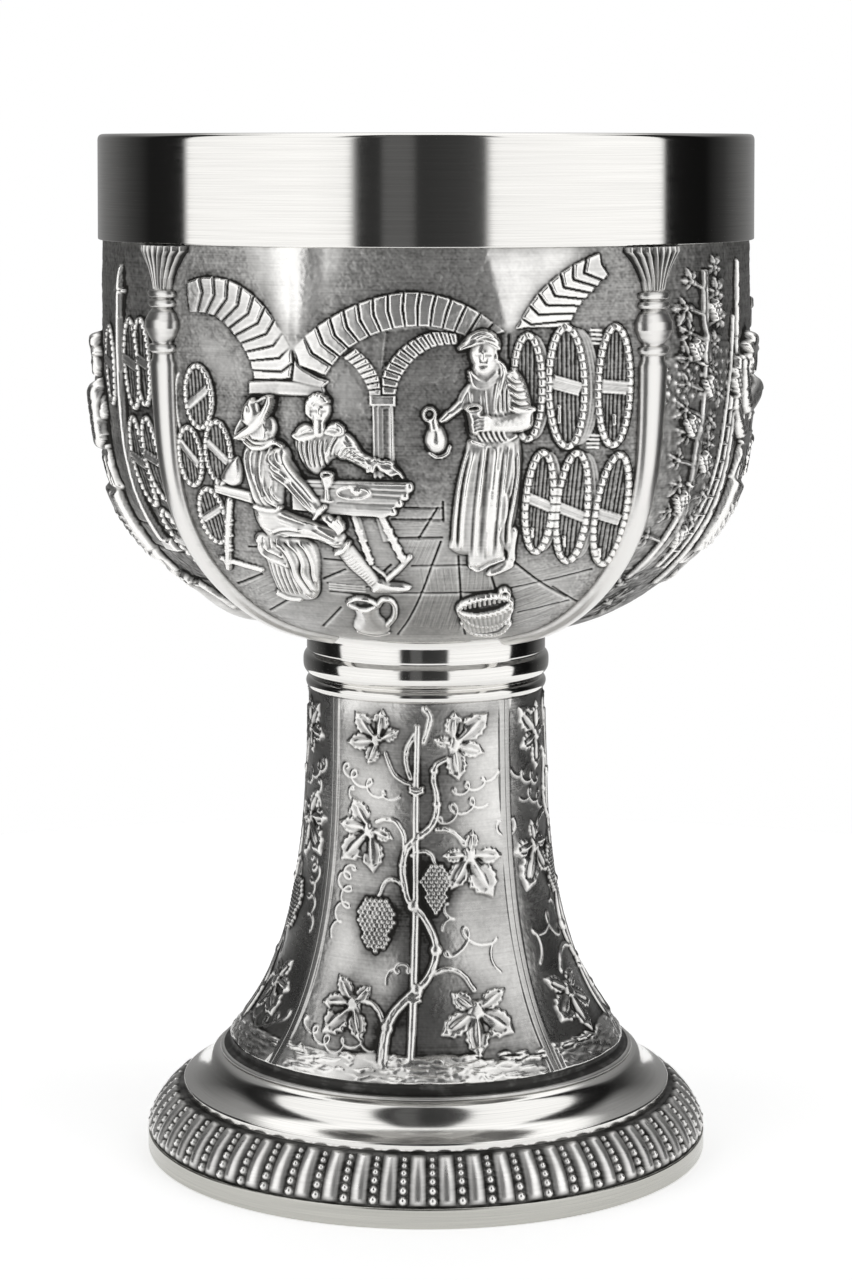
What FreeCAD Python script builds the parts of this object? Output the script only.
"""Footed goblet with a relief bowl and a relief stem, in millimetres.

Every piece is turned, cast or pressed metal about one upright axis. The origin is at the centre of the
underside, +Z is up, and the front relief panel of the bowl faces -Y. The bowl is a turned cup inside four
cast relief panels. A column covers each joint between two panels. The stem is four cast relief panels
between a collar and a moulded foot, and a rod with a nut draws bowl, stem and foot together.
"""
import FreeCAD, Part
import math
import os

# ---- driving dimensions ----
TOTAL_HEIGHT = 140.0
BAND_BOTTOM = 126.1          # underside of the polished band at the lip
BAND_RADIUS = 44.15
COLLAR_TOP = 73.4
COLLAR_BOTTOM = 65.0
STEM_BOTTOM = 15.9
RING_BOTTOM = 14.0
DOME_BOTTOM = 8.7
RIM_TOP = 2.8
RIM_RADIUS = 39.0

PANEL_THICKNESS = 1.3        # cast relief panels of the bowl, without their relief
LINER_THICKNESS = 1.0
STEM_THICKNESS = 1.6
JOINT_DEPTH = 1.5            # height of the tongue that goes up into the band
JOINT_THICKNESS = 0.65
SLOT_SWEEP = 1.1             # degrees between two bowl panels, filled by a column's rib

BORE_RADIUS = 13.0           # through the collar
ROD_RADIUS = 2.5
ROD_CLEARANCE = 0.3
ROD_BOTTOM = 1.2
ROD_ENGAGEMENT = 6.0         # how far the rod screws into the boss under the bowl
FELT_THICKNESS = 0.9
PLATE_THICKNESS = 1.1
PLATE_RADIUS = 37.0
NUT_FLATS = 8.0
NUT_HEIGHT = 2.7
WASHER_RADIUS = 5.5
WASHER_THICKNESS = 0.7

# Outer faces as (radius, height), from the top down.
BOWL_FACE = [(43.5, BAND_BOTTOM), (43.7, 112.0), (43.4, 104.0), (41.9, 94.0), (38.6, 87.0), (32.0, 80.0),
             (24.3, 75.6), (16.4, COLLAR_TOP)]
STEM_FACE = [(16.1, COLLAR_BOTTOM), (16.4, 52.0), (17.3, 41.0), (20.3, 28.0), (24.2, 20.0),
             (27.3, STEM_BOTTOM)]
DOME_FACE = [(28.9, RING_BOTTOM), (30.4, 13.0), (31.7, 12.0), (32.8, 11.0), (33.9, 9.8)]
BORDER_FACE = [(34.5, DOME_BOTTOM), (36.2, 7.1), (37.7, 5.0), (38.6, RIM_TOP)]

# The four sides, as the angle of each panel's middle from +X, and the four corners where columns stand.
SIDES = {"front": -90.0, "right": 0.0, "back": 90.0, "left": 180.0}
CORNERS = {"front_left": -135.0, "front_right": -45.0, "back_right": 45.0, "back_left": 135.0}

UP = FreeCAD.Vector(0, 0, 1)
BASE = FreeCAD.Vector(0, 0, 0)


# ---- drawing and turning ----
def place(spot):
    """A point of the section plane from (radius, height)."""
    return FreeCAD.Vector(spot[0], 0, spot[1])


def stroke(spots):
    """One edge: straight through two spots, a smooth curve through more."""
    if len(spots) == 2:
        return Part.makeLine(place(spots[0]), place(spots[1]))
    curve = Part.BSplineCurve()
    curve.interpolate([place(spot) for spot in spots])
    return curve.toShape()


def section(*strokes):
    """A closed face in the section plane. Straight edges join the end of each stroke to the next."""
    edges = []
    for spots, following in zip(strokes, strokes[1:] + strokes[:1]):
        if len(spots) > 1:
            edges.append(stroke(spots))
        if math.dist(spots[-1], following[0]) > 1e-6:
            edges.append(stroke([spots[-1], following[0]]))
    return Part.Face(Part.Wire(edges))


def corners(*spots):
    """Strokes of one spot each, so that section() joins them with straight edges."""
    return [[spot] for spot in spots]


def turned(face, middle=0.0, sweep=360.0, radius=0.0):
    """The face revolved through sweep degrees, centred on the angle middle, about an upright axis."""
    centre = FreeCAD.Vector(radius, 0, 0)
    solid = face.revolve(centre, UP, sweep)
    solid.rotate(centre, UP, -sweep / 2)
    solid.rotate(BASE, UP, middle)
    return solid


def inset(spots, depth, last=(-1.0, 0.0)):
    """The same curve, depth further in. The first spot moves level, and the last along its own vector."""
    moved = [(spots[0][0] - depth, spots[0][1])]
    for before, spot, after in zip(spots, spots[1:], spots[2:]):
        along_r = after[0] - before[0]
        along_z = after[1] - before[1]
        length = math.hypot(along_r, along_z)
        moved.append((spot[0] + depth * along_z / length, spot[1] - depth * along_r / length))
    end = spots[-1]
    return moved + [(end[0] + depth * last[0], end[1] + depth * last[1])]


def bowl_curve(depth):
    """The bowl's outer face, moved in by depth. It ends level, on the collar, so it thickens upwards there."""
    return inset(BOWL_FACE, depth, last=(0.0, 1.0))


def export(name, shape):
    shape.exportStep(os.path.join("parts", name + ".step"))


# ---- bowl ----
def cup_liner():
    """Turned inner cup, open at the top, with a flat floor over the boss."""
    outer = bowl_curve(PANEL_THICKNESS)
    inner = bowl_curve(PANEL_THICKNESS + LINER_THICKNESS)
    top = TOTAL_HEIGHT - 0.8
    face = section(
        [(outer[0][0], top), outer[0]], outer,
        [outer[-1], (0.0, outer[-1][1])],
        [(0.0, inner[-1][1]), inner[-1]], inner[::-1],
        [inner[0], (inner[0][0], top)])
    return turned(face)


def lip_band():
    """Polished band around the lip. It caps the liner's edge and holds the panels' tongues."""
    liner = bowl_curve(PANEL_THICKNESS)[0][0]
    inside = liner - LINER_THICKNESS
    groove = liner + JOINT_THICKNESS
    groove_top = BAND_BOTTOM + JOINT_DEPTH
    face = section(
        [(groove, BAND_BOTTOM), (BAND_RADIUS - 0.3, BAND_BOTTOM)],
        [(BAND_RADIUS, BAND_BOTTOM + 0.4), (BAND_RADIUS - 0.15, TOTAL_HEIGHT - 0.8)],
        [(BAND_RADIUS - 0.15, TOTAL_HEIGHT - 0.8), (BAND_RADIUS - 0.4, TOTAL_HEIGHT - 0.2),
         (BAND_RADIUS - 1.0, TOTAL_HEIGHT)],
        *corners((inside + 0.5, TOTAL_HEIGHT), (inside, TOTAL_HEIGHT - 0.4), (inside, TOTAL_HEIGHT - 0.8),
                 (liner, TOTAL_HEIGHT - 0.8), (liner, groove_top), (groove, groove_top)))
    return turned(face)


def bowl_panel(middle):
    """One cast side of the bowl: a quarter shell with a tongue at the top and a foot under the liner."""
    outer = bowl_curve(0.0)
    inner = bowl_curve(PANEL_THICKNESS)
    tongue = inner[0][0] + JOINT_THICKNESS
    face = section(
        outer,
        *corners((BORE_RADIUS, COLLAR_TOP), (BORE_RADIUS, inner[-1][1])),
        inner[::-1],
        *corners((inner[0][0], BAND_BOTTOM + JOINT_DEPTH), (tongue, BAND_BOTTOM + JOINT_DEPTH),
                 (tongue, BAND_BOTTOM)))
    return turned(face, middle, 90.0 - SLOT_SWEEP)


def bowl_column(middle):
    """Column on a joint between two panels: rib in the slot, tapering shaft, vase, rings and capital."""
    rib = turned(section(bowl_curve(0.0), bowl_curve(PANEL_THICKNESS)[::-1]), 0.0, SLOT_SWEEP)
    shaft = turned(section(bowl_curve(-1.1), bowl_curve(0.0)[::-1]), 0.0, 4.0)
    axis = BOWL_FACE[0][0] - 0.4
    rings = [(118.2, 119.2), (119.4, 120.4)]
    outline = [(4.6, 125.7), (2.7, 123.0), (1.6, rings[1][1])]
    strokes = [[(axis, 125.7)], [(axis + r, z) for r, z in outline]]
    for low, high in reversed(rings):
        strokes += corners((axis + 2.2, high), (axis + 2.2, low), (axis + 1.5, low))
    strokes.append([(axis + 1.5, 118.0), (axis + 2.4, 116.0), (axis + 1.5, 113.5)])
    strokes += corners((axis + 2.2, 113.2), (axis + 2.2, 112.6), (axis, 112.6))
    turning = turned(section(*strokes), radius=axis)
    core = turned(section(bowl_curve(0.0), *corners((0.0, COLLAR_TOP), (0.0, BAND_BOTTOM))))
    limit = Part.makeCylinder(BAND_RADIUS + 1.3, TOTAL_HEIGHT)
    column = rib.fuse(shaft).fuse(turning.cut(core).common(limit)).removeSplitter()
    column.rotate(BASE, UP, middle)
    return column


def bowl_boss():
    """Turned boss under the liner, with the blind hole that the rod screws into."""
    top = COLLAR_TOP + PANEL_THICKNESS
    bottom = COLLAR_BOTTOM + 1.6
    boss = Part.makeCylinder(BORE_RADIUS, top - bottom, FreeCAD.Vector(0, 0, bottom))
    hole = Part.makeCylinder(ROD_RADIUS, ROD_ENGAGEMENT + 0.5, FreeCAD.Vector(0, 0, bottom))
    return boss.cut(hole)


# ---- stem ----
def collar():
    """Turned collar between bowl and stem: a plain drum over two beads."""
    face = section(
        [(16.4, COLLAR_TOP), (16.4, 70.3)],
        [(16.5, 70.1), (16.9, 68.5), (16.3, 66.9)],
        [(15.9, 66.7), (16.3, 66.5)],
        [(16.3, 66.5), (16.5, 65.8), (16.2, COLLAR_BOTTOM)],
        *corners((BORE_RADIUS, COLLAR_BOTTOM), (BORE_RADIUS, COLLAR_TOP)))
    return turned(face)


def stem_top_plate():
    """Disc inside the top of the stem, with a spigot up into the collar and a hole for the rod."""
    inside = STEM_FACE[0][0] - STEM_THICKNESS
    hole = ROD_RADIUS + ROD_CLEARANCE
    spigot = 8.0
    return turned(section(*corners(
        (hole, COLLAR_BOTTOM - 2.4), (inside, COLLAR_BOTTOM - 2.4), (inside, COLLAR_BOTTOM),
        (BORE_RADIUS, COLLAR_BOTTOM), (BORE_RADIUS, COLLAR_BOTTOM + 1.6), (spigot, COLLAR_BOTTOM + 1.6),
        (spigot, COLLAR_BOTTOM), (hole, COLLAR_BOTTOM))))


def stem_panel(middle):
    """One cast side of the stem: a quarter shell that flares to the foot."""
    return turned(section(STEM_FACE, inset(STEM_FACE, STEM_THICKNESS)[::-1]), middle, 90.0)


def stem_base_ring():
    """Hollow moulding under the stem: a cove over a thin bead, with a lip inside the stem panels."""
    inside = STEM_FACE[-1][0] - STEM_THICKNESS
    face = section(
        [(27.3, STEM_BOTTOM), (27.3, 15.2), (28.3, 14.5)],
        [(28.3, 14.5), (28.75, 14.25), (28.6, RING_BOTTOM)],
        *corners((22.6, RING_BOTTOM), (22.6, STEM_BOTTOM + 1.3), (inside - 1.8, STEM_BOTTOM + 1.3),
                 (inside, STEM_BOTTOM)))
    return turned(face)


# ---- foot ----
def foot_dome():
    """Polished ogee of the foot, with a flange that the stem's base ring stands on."""
    edge = DOME_FACE[-1][0]
    face = section(
        DOME_FACE,
        *corners((edge, DOME_BOTTOM), (edge - 1.6, DOME_BOTTOM)),
        [(edge - 1.6, 9.6), (31.0, 11.0), (29.6, 11.9), (28.0, RING_BOTTOM - 1.4)],
        *corners((22.0, RING_BOTTOM - 1.4), (22.0, RING_BOTTOM)))
    return turned(face)


def foot_border():
    """Convex fluted and beaded border around the foot, as a plain shell."""
    seat = DOME_FACE[-1][0] - 1.6
    face = section(
        [(seat, DOME_BOTTOM), BORDER_FACE[0]], BORDER_FACE,
        [(36.0, RIM_TOP), (35.1, 4.6), (33.9, 6.2), (seat, 7.4)])
    return turned(face)


def foot_rim():
    """Polished rim that stands on the table, with a ledge over the closing plate."""
    ledge = FELT_THICKNESS + PLATE_THICKNESS
    return turned(section(*corners(
        (35.5, RIM_TOP), (RIM_RADIUS - 0.3, RIM_TOP), (RIM_RADIUS, RIM_TOP - 0.4), (RIM_RADIUS, 0.4),
        (RIM_RADIUS - 0.4, 0.0), (PLATE_RADIUS, 0.0), (PLATE_RADIUS, ledge), (35.5, ledge))))


def foot_plate():
    """Closing plate of the foot, with a raised pocket that hides the washer and the nut."""
    low = FELT_THICKNESS
    high = FELT_THICKNESS + PLATE_THICKNESS
    pocket = nut_top() + WASHER_THICKNESS
    hole = ROD_RADIUS + ROD_CLEARANCE
    return turned(section(*corners(
        (PLATE_RADIUS, low), (PLATE_RADIUS, high), (11.0, high), (9.4, pocket + 1.2), (hole, pocket + 1.2),
        (hole, pocket), (8.2, pocket), (9.8, low))))


def base_felt():
    """Felt disc glued under the closing plate, level with the rim."""
    return Part.makeCylinder(PLATE_RADIUS, FELT_THICKNESS)


# ---- the fastening inside ----
def nut_top():
    return ROD_BOTTOM + NUT_HEIGHT


def tie_rod():
    top = COLLAR_BOTTOM + 1.6 + ROD_ENGAGEMENT
    return Part.makeCylinder(ROD_RADIUS, top - ROD_BOTTOM, FreeCAD.Vector(0, 0, ROD_BOTTOM))


def tie_washer():
    hole = ROD_RADIUS + ROD_CLEARANCE
    low = nut_top()
    high = low + WASHER_THICKNESS
    return turned(section(*corners((hole, low), (WASHER_RADIUS, low), (WASHER_RADIUS, high), (hole, high))))


def tie_nut():
    """Thin hexagon nut on the rod's lower end."""
    across_corners = NUT_FLATS / math.cos(math.radians(30)) / 2
    ring = []
    for turn in range(7):
        angle = math.radians(60 * turn)
        ring.append(FreeCAD.Vector(across_corners * math.cos(angle), across_corners * math.sin(angle), ROD_BOTTOM))
    nut = Part.Face(Part.makePolygon(ring)).extrude(FreeCAD.Vector(0, 0, NUT_HEIGHT))
    return nut.cut(Part.makeCylinder(ROD_RADIUS, NUT_HEIGHT, FreeCAD.Vector(0, 0, ROD_BOTTOM)))


def main():
    os.makedirs("parts", exist_ok=True)
    export("cup_liner", cup_liner())
    export("lip_band", lip_band())
    for side, middle in SIDES.items():
        export("bowl_panel_" + side, bowl_panel(middle))
        export("stem_panel_" + side, stem_panel(middle))
    for corner, middle in CORNERS.items():
        export("bowl_column_" + corner, bowl_column(middle))
    export("bowl_boss", bowl_boss())
    export("collar", collar())
    export("stem_top_plate", stem_top_plate())
    export("stem_base_ring", stem_base_ring())
    export("foot_dome", foot_dome())
    export("foot_border", foot_border())
    export("foot_rim", foot_rim())
    export("foot_plate", foot_plate())
    export("base_felt", base_felt())
    export("tie_rod", tie_rod())
    export("tie_washer", tie_washer())
    export("tie_nut", tie_nut())


main()
